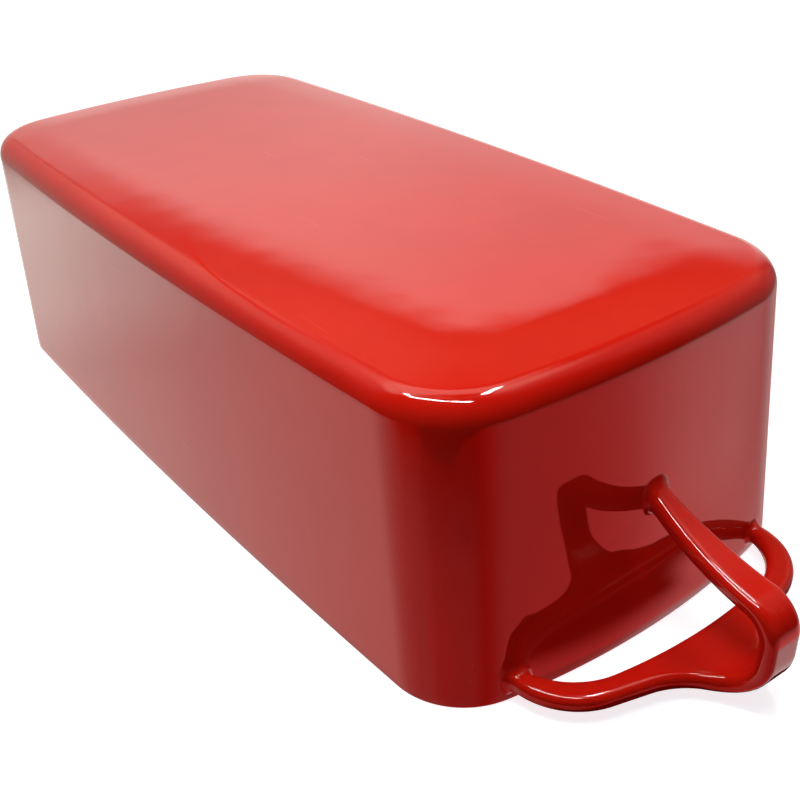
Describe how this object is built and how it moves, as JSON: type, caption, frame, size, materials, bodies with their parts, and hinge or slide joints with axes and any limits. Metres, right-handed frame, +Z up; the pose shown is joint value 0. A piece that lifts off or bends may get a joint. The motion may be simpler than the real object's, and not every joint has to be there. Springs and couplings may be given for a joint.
{
  "type": "loaf pan",
  "caption": "Deep enamelled loaf pan with tapered walls and a gently crowned base, standing upturned on its rim, with a bowed three-footed strap handle on each end.",
  "frame": {"origin": "centre of the rim plane, at the bottom of the upturned pan", "axes": "+X along the length towards the front handle, +Y across the width, +Z up from the rim towards the pan's base"},
  "size_m": [0.3445, 0.1262, 0.0782],
  "materials": {
    "enamel": "high-gloss vitreous enamel",
    "handle_enamel": "high-gloss vitreous enamel over bent steel strap"
  },
  "bodies": {
    "root": {"pan_body": "enamel", "front_handle": "handle_enamel", "rear_handle": "handle_enamel"}
  },
  "joints": []
}
